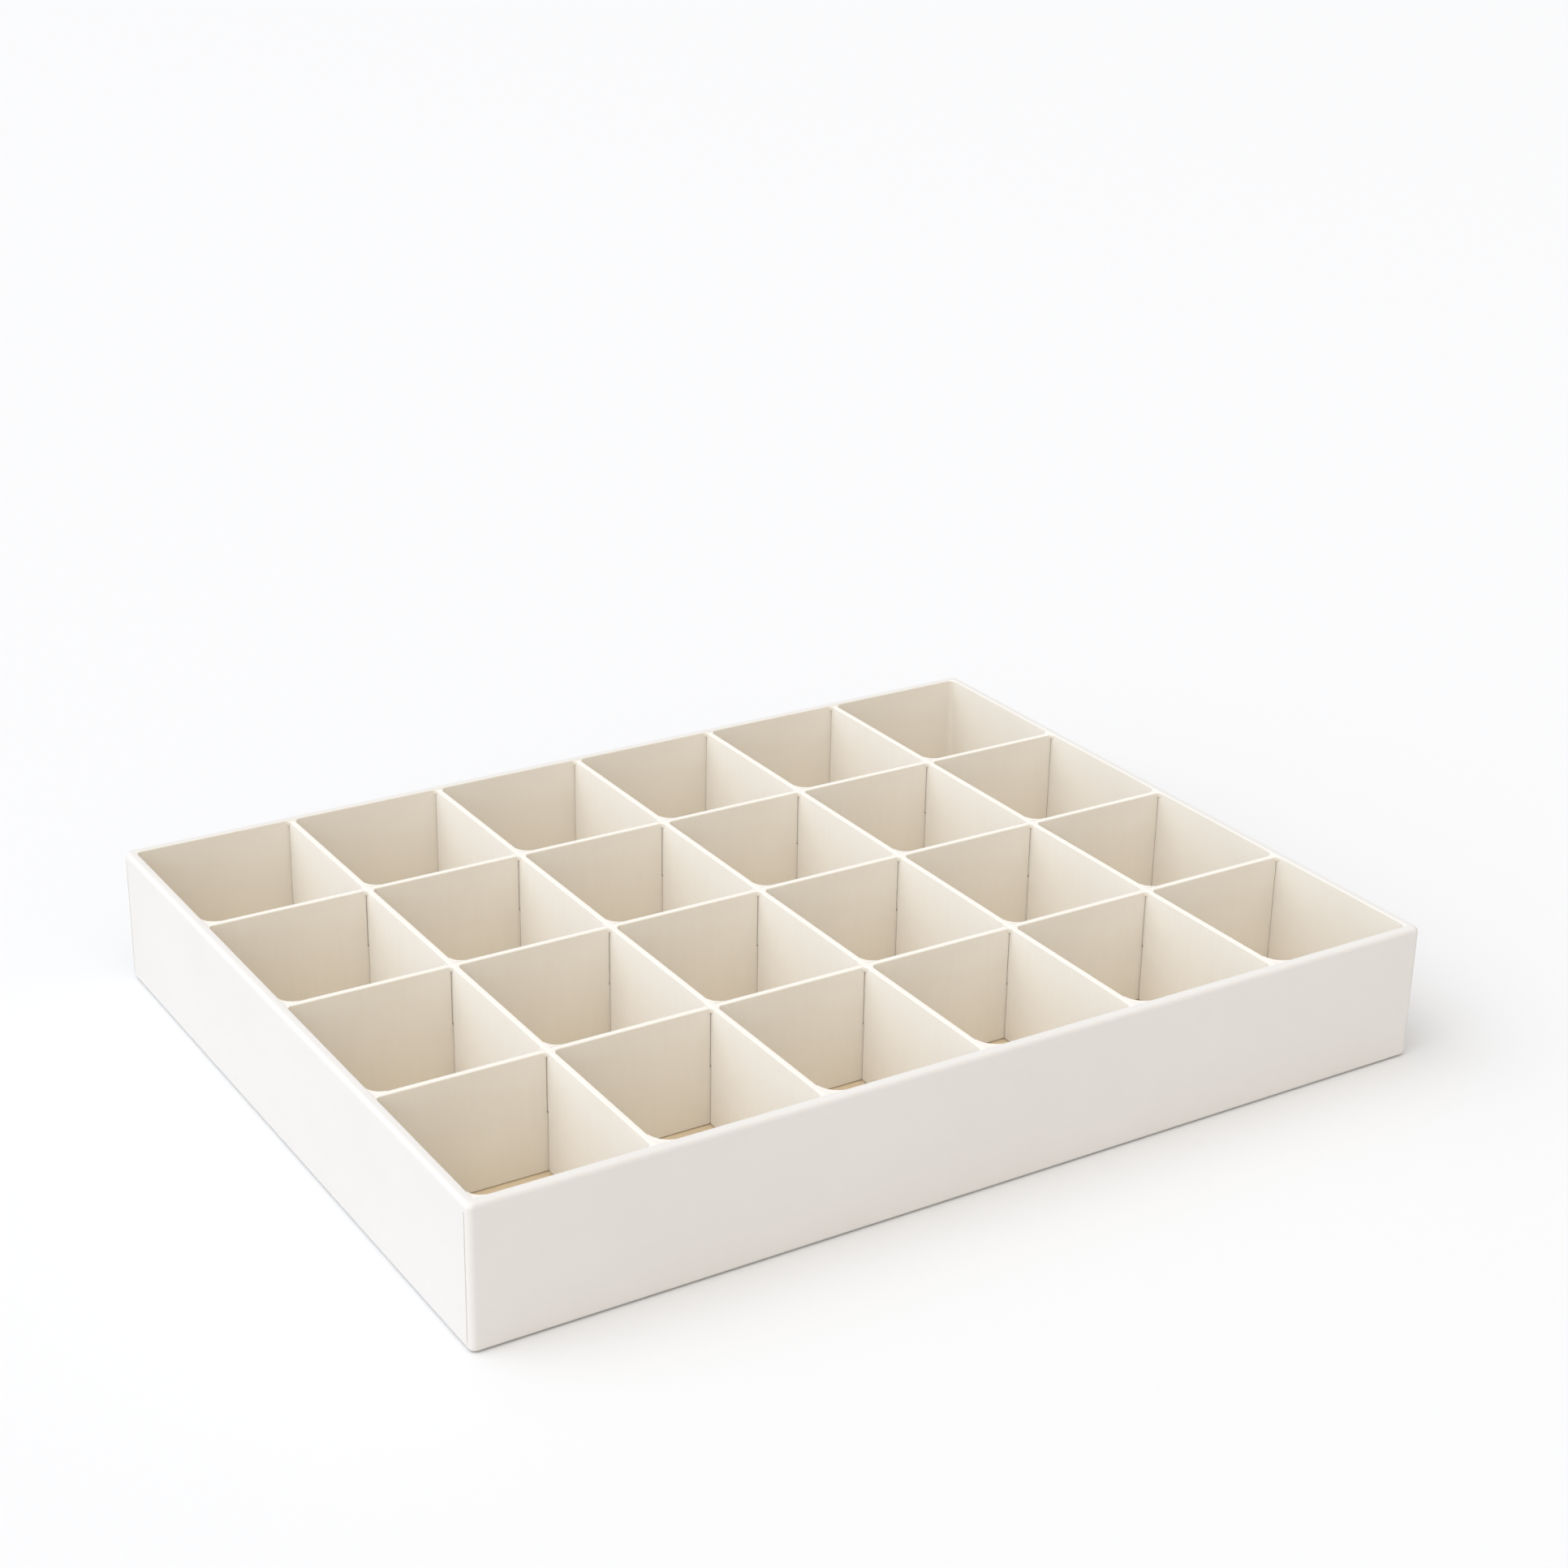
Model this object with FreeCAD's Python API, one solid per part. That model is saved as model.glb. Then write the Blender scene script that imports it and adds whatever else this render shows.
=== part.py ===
"""Open partitioned tray of wrapped paperboard, with a lift-out grid of slotted dividers.

Units are millimetres and +Z is up. The origin is the centre of the underside: X runs along
the long side and Y along the short side. Every physical piece is one solid in its own STEP file.
"""

import FreeCAD, Part
import math
import os

# ---------------------------------------------------------------- driving dimensions
CELLS_ALONG_X = 6
CELLS_ALONG_Y = 4
CELL_PITCH_X = 33.6
CELL_PITCH_Y = 38.5
TRAY_HEIGHT = 28.2

# Sheet and board thicknesses.
WRAP_PAPER = 0.25
WALL_BOARD = 1.5
BASE_BOARD = 2.0
FLOOR_CARD = 1.2
DIVIDER_CARD = 1.2
STAY_TAPE = 0.12

# Folded edges of the wrapping paper: upright corners, outer edge of the rim, foot, inside corners.
CORNER_RADIUS = 1.2
RIM_RADIUS = 1.0
FOOT_RADIUS = 0.8
INSIDE_CORNER_RADIUS = 1.2
TURN_UNDER_WIDTH = 15.0
BOTTOM_PAPER_INSET = 3.0

# Gummed stays that hold the wall boards together at the corners.
STAY_LEG = 14.0
STAY_END_GAP = 1.5

# Clearances that let the dividers lift out by hand.
END_CLEARANCE = 0.3
SLOT_CLEARANCE = 0.25
SLOT_MEETING_GAP = 0.15
FLOOR_CLEARANCE = 0.1
RIM_SETBACK = 0.2

# ---------------------------------------------------------------- derived dimensions
WALL = WALL_BOARD + 2.0 * WRAP_PAPER
CAVITY_LENGTH = CELLS_ALONG_X * CELL_PITCH_X
CAVITY_WIDTH = CELLS_ALONG_Y * CELL_PITCH_Y
TRAY_LENGTH = CAVITY_LENGTH + 2.0 * WALL
TRAY_WIDTH = CAVITY_WIDTH + 2.0 * WALL

TURN_UNDER_Z = WRAP_PAPER
BOARD_Z = 2.0 * WRAP_PAPER
BASE_TOP_Z = BOARD_Z + BASE_BOARD
FLOOR_Z = BASE_TOP_Z + FLOOR_CARD
WALL_BOARD_TOP_Z = TRAY_HEIGHT - WRAP_PAPER
BOARD_INNER_INSET = WRAP_PAPER + WALL_BOARD

DIVIDER_BOTTOM_Z = FLOOR_Z + FLOOR_CLEARANCE
DIVIDER_TOP_Z = TRAY_HEIGHT - RIM_SETBACK
SLOT_WIDTH = DIVIDER_CARD + 2.0 * SLOT_CLEARANCE
SLOT_MEETING_Z = 0.5 * (DIVIDER_BOTTOM_Z + DIVIDER_TOP_Z)

# How far a cutting box runs past the face that it opens.
OVERCUT = 1.0


# ---------------------------------------------------------------- helpers
def box(x_range, y_range, z_range):
    """Axis-aligned box between the given (low, high) pairs."""
    corner = FreeCAD.Vector(x_range[0], y_range[0], z_range[0])
    size_x = x_range[1] - x_range[0]
    size_y = y_range[1] - y_range[0]
    size_z = z_range[1] - z_range[0]
    return Part.makeBox(size_x, size_y, size_z, corner)


def inset_box(inset, z_low, z_high):
    """Box over the tray's plan, drawn in by inset on all four sides."""
    half_x = 0.5 * TRAY_LENGTH - inset
    half_y = 0.5 * TRAY_WIDTH - inset
    return box((-half_x, half_x), (-half_y, half_y), (z_low, z_high))


def vertical_edges(solid):
    """Edges of a box that run along Z."""
    return [edge for edge in solid.Edges if abs(edge.Vertexes[0].Z - edge.Vertexes[-1].Z) > OVERCUT]


def edges_at_height(solid, height):
    """Edges of a box that lie in the level plane at height."""
    flat = []
    for edge in solid.Edges:
        if all(math.isclose(vertex.Z, height, abs_tol=1e-6) for vertex in edge.Vertexes):
            flat.append(edge)
    return flat


def rounded_inset_box(inset, z_low, z_high):
    """Inset box whose upright corners stay concentric with the tray's own corners."""
    solid = inset_box(inset, z_low, z_high)
    return solid.makeFillet(CORNER_RADIUS - inset, vertical_edges(solid))


def folded_box(inset):
    """The tray's outer form, drawn in by inset on every face, with its rounded folds."""
    z_low = TURN_UNDER_Z + inset
    z_high = TRAY_HEIGHT - inset
    solid = rounded_inset_box(inset, z_low, z_high)
    solid = solid.makeFillet(RIM_RADIUS - inset, edges_at_height(solid, z_high))
    return solid.makeFillet(FOOT_RADIUS - inset, edges_at_height(solid, z_low))


def cavity_box(z_low, z_high):
    """Space inside the wrapped walls, with the corners that the turned-in paper rounds."""
    solid = inset_box(WALL, z_low, z_high)
    return solid.makeFillet(INSIDE_CORNER_RADIUS, vertical_edges(solid))


def wall_board_ring():
    """All four wall boards as one ring."""
    return folded_box(WRAP_PAPER).cut(inset_box(BOARD_INNER_INSET, 0.0, TRAY_HEIGHT))


def export(name, shape):
    """Write one piece and report its volume."""
    solids = shape.Solids
    if len(solids) != 1 or not shape.isValid():
        raise RuntimeError(f"{name}: {len(solids)} solids, valid {shape.isValid()}")
    solids[0].exportStep(os.path.join("parts", f"{name}.step"))
    print(f"{name:28s} {solids[0].Volume:10.1f} mm3")


# ---------------------------------------------------------------- tray shell
def make_base_board():
    """Rigid board that the four walls stand around."""
    return inset_box(BOARD_INNER_INSET, BOARD_Z, BASE_TOP_Z)


def make_wall_boards():
    """Four boards: the front and back run full length and the ends stand between them."""
    ring = wall_board_ring()
    reach_x = 0.5 * TRAY_LENGTH
    outer_y = 0.5 * TRAY_WIDTH
    inner_y = outer_y - BOARD_INNER_INSET
    heights = (0.0, TRAY_HEIGHT)
    cutters = {
        "front": box((-reach_x, reach_x), (-outer_y, -inner_y), heights),
        "back": box((-reach_x, reach_x), (inner_y, outer_y), heights),
        "left": box((-reach_x, 0.0), (-inner_y, inner_y), heights),
        "right": box((0.0, reach_x), (-inner_y, inner_y), heights),
    }
    return {f"{side}_wall_board": ring.common(cutter) for side, cutter in cutters.items()}


def make_corner_stays():
    """Thin angles of gummed tape around the outside of each board corner."""
    z_low = BOARD_Z + STAY_END_GAP
    z_high = WALL_BOARD_TOP_Z - STAY_END_GAP
    band = rounded_inset_box(WRAP_PAPER - STAY_TAPE, z_low, z_high)
    band = band.cut(rounded_inset_box(WRAP_PAPER, z_low - OVERCUT, z_high + OVERCUT))
    outer_x = 0.5 * TRAY_LENGTH
    outer_y = 0.5 * TRAY_WIDTH
    columns = {"left": (-outer_x, STAY_LEG - outer_x), "right": (outer_x - STAY_LEG, outer_x)}
    rows = {"front": (-outer_y, STAY_LEG - outer_y), "back": (outer_y - STAY_LEG, outer_y)}
    stays = {}
    for row_name, y_range in rows.items():
        for column_name, x_range in columns.items():
            corner = box(x_range, y_range, (z_low, z_high))
            stays[f"corner_stay_{row_name}_{column_name}"] = band.common(corner)
    return stays


def make_outer_wrap(stays):
    """One paper sheet: outer sides, over the rim, down the inside, and turned under the base."""
    sheet = folded_box(0.0)
    sheet = sheet.cut(wall_board_ring())
    sheet = sheet.cut(inset_box(BOARD_INNER_INSET, BOARD_Z, BASE_TOP_Z))
    sheet = sheet.cut(cavity_box(BASE_TOP_Z, TRAY_HEIGHT + OVERCUT))
    sheet = sheet.cut(inset_box(TURN_UNDER_WIDTH, 0.0, BOARD_Z))
    for stay in stays.values():
        sheet = sheet.cut(stay)
    return sheet


def make_bottom_paper():
    """Paper glued over the underside, filling the window that the turned-under edges leave."""
    face = inset_box(BOTTOM_PAPER_INSET, 0.0, TURN_UNDER_Z)
    window = inset_box(TURN_UNDER_WIDTH, 0.0, BOARD_Z)
    return face.fuse(window).removeSplitter()


def make_floor_card():
    """Lining card on the base board, between the turned-in edges of the wrap."""
    return cavity_box(BASE_TOP_Z, FLOOR_Z)


# ---------------------------------------------------------------- divider grid
def make_long_divider(row):
    """Divider along X, slotted from its top edge down to mid height at each cross divider."""
    reach = 0.5 * CAVITY_LENGTH - END_CLEARANCE
    y_middle = row * CELL_PITCH_Y - 0.5 * CAVITY_WIDTH
    y_range = (y_middle - 0.5 * DIVIDER_CARD, y_middle + 0.5 * DIVIDER_CARD)
    plank = box((-reach, reach), y_range, (DIVIDER_BOTTOM_Z, DIVIDER_TOP_Z))
    slot_y = (y_range[0] - OVERCUT, y_range[1] + OVERCUT)
    slot_z = (SLOT_MEETING_Z - SLOT_MEETING_GAP, DIVIDER_TOP_Z + OVERCUT)
    for column in range(1, CELLS_ALONG_X):
        x_middle = column * CELL_PITCH_X - 0.5 * CAVITY_LENGTH
        slot_x = (x_middle - 0.5 * SLOT_WIDTH, x_middle + 0.5 * SLOT_WIDTH)
        plank = plank.cut(box(slot_x, slot_y, slot_z))
    return plank


def make_cross_divider(column):
    """Divider along Y, slotted from its bottom edge up to mid height at each long divider."""
    reach = 0.5 * CAVITY_WIDTH - END_CLEARANCE
    x_middle = column * CELL_PITCH_X - 0.5 * CAVITY_LENGTH
    x_range = (x_middle - 0.5 * DIVIDER_CARD, x_middle + 0.5 * DIVIDER_CARD)
    plank = box(x_range, (-reach, reach), (DIVIDER_BOTTOM_Z, DIVIDER_TOP_Z))
    slot_x = (x_range[0] - OVERCUT, x_range[1] + OVERCUT)
    slot_z = (DIVIDER_BOTTOM_Z - OVERCUT, SLOT_MEETING_Z + SLOT_MEETING_GAP)
    for row in range(1, CELLS_ALONG_Y):
        y_middle = row * CELL_PITCH_Y - 0.5 * CAVITY_WIDTH
        slot_y = (y_middle - 0.5 * SLOT_WIDTH, y_middle + 0.5 * SLOT_WIDTH)
        plank = plank.cut(box(slot_x, slot_y, slot_z))
    return plank


# ---------------------------------------------------------------- assembly
def main():
    """Build every piece and write it to parts/."""
    os.makedirs("parts", exist_ok=True)
    pieces = {"base_board": make_base_board()}
    pieces.update(make_wall_boards())
    stays = make_corner_stays()
    pieces.update(stays)
    pieces["outer_wrap"] = make_outer_wrap(stays)
    pieces["bottom_paper"] = make_bottom_paper()
    pieces["floor_card"] = make_floor_card()
    for row in range(1, CELLS_ALONG_Y):
        pieces[f"long_divider_{row}"] = make_long_divider(row)
    for column in range(1, CELLS_ALONG_X):
        pieces[f"cross_divider_{column}"] = make_cross_divider(column)
    for name, shape in pieces.items():
        export(name, shape)


main()
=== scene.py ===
"""Studio scene of an open partitioned tray of paper-wrapped board.

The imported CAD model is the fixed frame. The visible papers and cards are modelled again here
with their rounded folds, seams and soft corner webs. Everything is in metres, +Z up, with X
along the long side of the tray.
"""

import logging
import math
from contextlib import contextmanager
from dataclasses import dataclass
from enum import Enum
from typing import Callable, Iterator, Sequence

import bmesh
import bpy
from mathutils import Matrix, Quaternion, Vector


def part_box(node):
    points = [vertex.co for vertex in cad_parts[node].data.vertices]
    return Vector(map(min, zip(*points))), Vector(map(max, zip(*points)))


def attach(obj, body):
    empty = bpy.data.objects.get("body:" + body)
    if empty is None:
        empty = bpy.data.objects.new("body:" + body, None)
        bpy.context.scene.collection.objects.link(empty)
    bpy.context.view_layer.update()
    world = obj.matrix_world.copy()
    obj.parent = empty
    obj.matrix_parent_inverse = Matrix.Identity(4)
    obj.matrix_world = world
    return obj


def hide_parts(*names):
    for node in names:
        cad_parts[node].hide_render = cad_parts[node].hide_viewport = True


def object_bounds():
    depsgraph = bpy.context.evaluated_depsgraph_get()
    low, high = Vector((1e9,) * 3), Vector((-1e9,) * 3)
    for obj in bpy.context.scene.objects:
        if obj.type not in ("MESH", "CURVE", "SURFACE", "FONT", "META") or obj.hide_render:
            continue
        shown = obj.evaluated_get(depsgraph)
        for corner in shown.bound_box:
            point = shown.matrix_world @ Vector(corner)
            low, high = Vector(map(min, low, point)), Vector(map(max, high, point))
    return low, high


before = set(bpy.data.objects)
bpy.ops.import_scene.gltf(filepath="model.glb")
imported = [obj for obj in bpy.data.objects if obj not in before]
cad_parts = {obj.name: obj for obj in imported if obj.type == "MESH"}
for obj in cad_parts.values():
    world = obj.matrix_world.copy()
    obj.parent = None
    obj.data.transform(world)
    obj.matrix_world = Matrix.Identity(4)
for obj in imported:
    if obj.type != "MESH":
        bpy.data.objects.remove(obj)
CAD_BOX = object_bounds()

MM = 0.001
# How near a point lies to a plane that it is on, and how squarely a face looks along an axis.
SLACK = 0.01 * MM
FACING = 0.99
Piece = bpy.types.Object
Colour = tuple[float, float, float]
Stretch = tuple[float, float, float]
Range = tuple[float, float]
LOG = logging.getLogger("partitioned_tray")


# ------------------------ modelling bench
class Kind(Enum):
    """What an edit-mode selection is made of."""

    VERTS = "VERT"
    EDGES = "EDGE"
    FACES = "FACE"


class Cut(Enum):
    """What a boolean does with the other piece."""

    JOIN = "UNION"
    REMOVE = "DIFFERENCE"


class Bench:
    """Modelling steps that the sub-assemblies share."""

    SMOOTH_DEGREES = 35.0
    LARGE_FACES_FIRST = 100

    @staticmethod
    def clear_selection() -> None:
        """Leave edit mode and deselect every object."""
        if bpy.context.mode != "OBJECT":
            bpy.ops.object.mode_set(mode="OBJECT")
        bpy.ops.object.select_all(action="DESELECT")

    @staticmethod
    def take(piece: Piece) -> None:
        """Make a piece the only selected object and the active one.

        Args:
            piece: The piece to work on.
        """
        Bench.clear_selection()
        piece.select_set(True)
        bpy.context.view_layer.objects.active = piece

    @staticmethod
    def name_new(name: str) -> Piece:
        """Name the primitive just added and move its place and size into its mesh.

        Args:
            name: The piece's name.

        Returns:
            The piece, with its object at the origin.
        """
        piece = bpy.context.active_object
        piece.name = name
        piece.data.name = name
        bpy.ops.object.transform_apply(location=True, rotation=True, scale=True)
        return piece

    @staticmethod
    def block(name: str, low: Sequence[float], high: Sequence[float]) -> Piece:
        """Add a block between two corners.

        Args:
            name: The piece's name.
            low: Lowest corner.
            high: Highest corner.

        Returns:
            The new block.
        """
        low, high = Vector(low), Vector(high)
        Bench.clear_selection()
        bpy.ops.mesh.primitive_cube_add(size=1.0, location=(low + high) / 2.0, scale=high - low)
        return Bench.name_new(name)

    @staticmethod
    @contextmanager
    def editing(piece: Piece) -> Iterator[None]:
        """Hold a piece in edit mode, at first with nothing selected.

        Args:
            piece: The piece to edit.

        Yields:
            Nothing. The piece then leaves edit mode.
        """
        Bench.take(piece)
        bpy.ops.object.mode_set(mode="EDIT")
        bpy.ops.mesh.select_all(action="DESELECT")
        yield
        bpy.ops.object.mode_set(mode="OBJECT")

    @staticmethod
    def pick(piece: Piece, kind: Kind, test: Callable) -> None:
        """Select, in edit mode, the elements that pass a test.

        Args:
            piece: The piece being edited.
            kind: Whether the test is given vertices, edges or faces.
            test: Takes one element and says whether it is wanted.
        """
        bpy.ops.mesh.select_mode(type=kind.value)
        bpy.ops.mesh.select_all(action="DESELECT")
        shape = bmesh.from_edit_mesh(piece.data)
        items = {Kind.VERTS: shape.verts, Kind.EDGES: shape.edges, Kind.FACES: shape.faces}[kind]
        for item in filter(test, items):
            item.select_set(True)
        bmesh.update_edit_mesh(piece.data)

    @staticmethod
    def apply(piece: Piece, kind: str, **settings: object) -> None:
        """Add one modifier and apply it.

        Args:
            piece: The piece to modify.
            kind: The modifier's type.
            **settings: The modifier's properties.
        """
        Bench.take(piece)
        modifier = piece.modifiers.new(kind.title(), kind)
        for key, value in settings.items():
            setattr(modifier, key, value)
        bpy.ops.object.modifier_apply(modifier=modifier.name)

    @staticmethod
    def combine(piece: Piece, other: Piece, cut: Cut) -> None:
        """Boolean another piece into this one and delete the other.

        Args:
            piece: The piece that stays.
            other: The piece that is used up.
            cut: Whether the other piece is added or taken away.
        """
        Bench.apply(piece, "BOOLEAN", object=other, operation=cut.value, solver="EXACT")
        Bench.take(other)
        bpy.ops.object.delete()

    @staticmethod
    def copy(piece: Piece, name: str, shift: Vector) -> Piece:
        """Copy a piece with its own mesh, moved by shift, with the move kept in the mesh.

        Args:
            piece: The piece to copy.
            name: The copy's name.
            shift: How far the copy lies from the original.

        Returns:
            The copy.
        """
        Bench.take(piece)
        bpy.ops.object.duplicate()
        bpy.ops.transform.translate(value=shift)
        return Bench.name_new(name)

    @staticmethod
    def smooth(piece: Piece) -> None:
        """Shade a piece smooth across its gentle edges and keep its large faces flat.

        Args:
            piece: The piece to shade.
        """
        Bench.take(piece)
        bpy.ops.object.shade_smooth_by_angle(angle=math.radians(Bench.SMOOTH_DEGREES))
        Bench.apply(piece, "WEIGHTED_NORMAL", mode="FACE_AREA", weight=Bench.LARGE_FACES_FIRST,
                    keep_sharp=True)


def ends_pass(test: Callable[[Vector], bool]) -> Callable:
    """Turn a test of a point into a test of an element, all of whose vertices must pass."""
    return lambda item: all(test(vertex.co) for vertex in item.verts)


# ------------------------ shader bench
class Wire:
    """A shader socket that does arithmetic: each operator adds a Math node."""

    def __init__(self, shader: "Shader", socket: bpy.types.NodeSocket) -> None:
        """Keep the shader that the socket belongs to."""
        self.shader = shader
        self.socket = socket

    def _math(self, operation: str, first: "Wire | float", second: "Wire | float") -> "Wire":
        """Add one Math node and return its output."""
        return self.shader.node("ShaderNodeMath", {"operation": operation}, {0: first, 1: second})

    def __add__(self, other: "Wire | float") -> "Wire":
        """Sum."""
        return self._math("ADD", self, other)

    __radd__ = __add__

    def __mul__(self, other: "Wire | float") -> "Wire":
        """Product."""
        return self._math("MULTIPLY", self, other)

    __rmul__ = __mul__

    def __rsub__(self, other: "Wire | float") -> "Wire":
        """Difference, with this output taken away."""
        return self._math("SUBTRACT", other, self)


class Shader:
    """The node tree of one material, or of the surrounding light, under construction."""

    MIX_FIRST = 6
    MIX_SECOND = 7
    MIX_RESULT = 2
    SPECULAR = 0.35
    SHEEN_ROUGHNESS = 0.6

    def __init__(self, holder: bpy.types.Material | bpy.types.World,
                 output: str = "ShaderNodeOutputMaterial") -> None:
        """Start an empty node tree with an output.

        Args:
            holder: The material or world that the tree belongs to.
            output: The output node's type.
        """
        self.holder = holder
        holder.use_nodes = True
        self.tree = holder.node_tree
        self.tree.nodes.clear()
        self.output = self.tree.nodes.new(output)

    @classmethod
    def named(cls, name: str) -> "Shader":
        """Start a new material."""
        return cls(bpy.data.materials.new(name))

    def node(self, kind: str, settings: dict | None = None, inputs: dict | None = None,
             output: str | int = 0) -> Wire:
        """Add one node.

        Args:
            kind: The node's type.
            settings: Properties to set first.
            inputs: Socket name or number to a value or a Wire.
            output: Which output to return.

        Returns:
            The node's output.
        """
        node = self.tree.nodes.new(kind)
        for key, value in (settings or {}).items():
            setattr(node, key, value)
        for key, value in (inputs or {}).items():
            if isinstance(value, Wire):
                self.tree.links.new(value.socket, node.inputs[key])
            else:
                node.inputs[key].default_value = value
        return Wire(self, node.outputs[output])

    def part(self, vector: Wire, axis: str) -> Wire:
        """One component of a vector."""
        return self.node("ShaderNodeSeparateXYZ", None, {0: vector}, output=axis)

    def noise(self, size: float, detail: float, stretch: Stretch = (1.0, 1.0, 1.0)) -> Wire:
        """Add noise on object coordinates.

        Args:
            size: About how large its features are, in metres.
            detail: How many finer layers it has.
            stretch: Factor on each axis. Below 1 the features are longer.

        Returns:
            The noise, from 0 to 1.
        """
        place = self.node("ShaderNodeTexCoord", output="Object")
        place = self.node("ShaderNodeMapping", None, {"Vector": place, "Scale": stretch})
        inputs = {"Vector": place, "Scale": 1.0 / size, "Detail": detail}
        return self.node("ShaderNodeTexNoise", None, inputs)

    def remap(self, value: Wire, low: float, high: float) -> Wire:
        """Clamp value so that low becomes 0 and high becomes 1."""
        inputs = {"Value": value, "From Min": low, "From Max": high}
        return self.node("ShaderNodeMapRange", {"clamp": True}, inputs)

    def blend(self, factor: Wire | float, first: Wire | Colour, second: Wire | Colour) -> Wire:
        """Mix two colours.

        Args:
            factor: How much of the second colour shows.
            first: The colour at 0.
            second: The colour at 1.

        Returns:
            The mixed colour.
        """
        settings = {"data_type": "RGBA", "clamp_factor": True}
        inputs = {0: factor, self.MIX_FIRST: self._paint(first),
                  self.MIX_SECOND: self._paint(second)}
        return self.node("ShaderNodeMix", settings, inputs, output=self.MIX_RESULT)

    @staticmethod
    def _paint(colour: Wire | Colour) -> Wire | tuple[float, float, float, float]:
        """Give a plain colour its alpha."""
        return colour if isinstance(colour, Wire) else (*colour, 1.0)

    def finish(self, colour: Wire, roughness: Wire | float, bump_height: Wire,
               bump_depth: float, sheen: float = 0.0) -> bpy.types.Material:
        """Close the material with a Principled shader.

        Args:
            colour: Base colour.
            roughness: Surface roughness.
            bump_height: Relief, from 0 to 1.
            bump_depth: Depth of the relief, in metres.
            sheen: Weight of the fibre sheen.

        Returns:
            The finished material.
        """
        normal = self.node("ShaderNodeBump", None,
                           {"Height": bump_height, "Distance": bump_depth, "Strength": 1.0})
        inputs = {"Base Color": colour, "Roughness": roughness, "Normal": normal,
                  "Specular IOR Level": self.SPECULAR, "Sheen Weight": sheen,
                  "Sheen Roughness": self.SHEEN_ROUGHNESS}
        self.close(self.node("ShaderNodeBsdfPrincipled", None, inputs))
        return self.holder

    def close(self, surface: Wire) -> None:
        """Lead the surface to the output."""
        self.tree.links.new(surface.socket, self.output.inputs["Surface"])


@dataclass(frozen=True)
class PaperFinish:
    """Smooth uncoated paper or card: cloudy tone, fine fibres and a faint grain direction."""

    name: str
    colour: Colour
    cloud_colour: Colour
    roughness: float = 0.72
    roughness_spread: float = 0.12
    cloud_size: float = 14.0 * MM
    cloud_detail: float = 4.0
    cloud_range: Range = (0.35, 0.65)
    cloud_strength: float = 0.5
    fibre_size: float = 0.45 * MM
    fibre_detail: float = 4.0
    fibre_depth: float = 0.018 * MM
    fibre_relief: float = 0.7
    grain_size: float = 1.1 * MM
    grain_detail: float = 2.0
    grain_range: Range = (0.3, 0.7)
    grain_stretch: Stretch = (1.0, 1.0, 1.0)
    grain_strength: float = 0.3
    grain_relief: float = 0.3
    sheen: float = 0.0

    def _colour(self, shader: Shader, tone: Wire) -> Wire:
        """The paper's colour, drifting to the cloud colour with tone."""
        return shader.blend(tone, self.colour, self.cloud_colour)

    def build(self) -> bpy.types.Material:
        """Make the material.

        Returns:
            The finished material.
        """
        shader = Shader.named(self.name)
        cloud = shader.remap(shader.noise(self.cloud_size, self.cloud_detail), *self.cloud_range)
        grain = shader.noise(self.grain_size, self.grain_detail, self.grain_stretch)
        grain = shader.remap(grain, *self.grain_range)
        fibre = shader.noise(self.fibre_size, self.fibre_detail)
        colour = self._colour(shader, cloud * self.cloud_strength + grain * self.grain_strength)
        smoothest = self.roughness - 0.5 * self.roughness_spread
        roughness = fibre * self.roughness_spread + smoothest
        relief = fibre * self.fibre_relief + grain * self.grain_relief
        return shader.finish(colour, roughness, relief, self.fibre_depth, self.sheen)


@dataclass(frozen=True)
class WrapFinish(PaperFinish):
    """The tray's paper: white outside and over the rim, painted light where it lines the walls.

    The inner faces of the same sheet get a brighter, warmer colour, painted light that stands
    in for the fill, warmth and sheen between the walls. It fades in over edge_width at the rim's
    inner edge, and from lowest to twice lowest above the table.
    """

    # Painted light: the inner faces' colour, brighter and warmer than the same paper outside.
    inner_painted_light: Colour = (0.835, 0.80, 0.735)
    inner_painted_light_cloud: Colour = (0.81, 0.77, 0.695)
    edge_width: float = 0.25 * MM
    lowest: float = 1.0 * MM

    def _colour(self, shader: Shader, tone: Wire) -> Wire:
        """White outside, and painted light between the walls.

        Args:
            shader: The material under construction.
            tone: How far each colour drifts to its cloud colour.

        Returns:
            The colour all over the sheet.
        """
        inside = self._painted_light_mask(shader)
        white = super()._colour(shader, tone)
        # Painted light: the inner faces take the brighter, warmer colour in place of the white.
        return shader.blend(inside, white, shader.blend(tone, self.inner_painted_light, self.inner_painted_light_cloud))

    def _painted_light_mask(self, shader: Shader) -> Wire:
        """Mask of the walls' inner faces, where the painted light goes.

        Args:
            shader: The material under construction.

        Returns:
            1 on the inner faces and 0 elsewhere.
        """
        place = shader.node("ShaderNodeTexCoord", output="Object")
        _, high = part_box("floor_card")
        inside = shader.remap(shader.part(place, "Z"), self.lowest, 2.0 * self.lowest)
        for axis, half in (("X", high.x), ("Y", high.y)):
            reach = shader.node("ShaderNodeMath", {"operation": "ABSOLUTE"},
                                {0: shader.part(place, axis)})
            inside = inside * shader.remap(reach, half + self.edge_width, half)
        return inside


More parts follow.
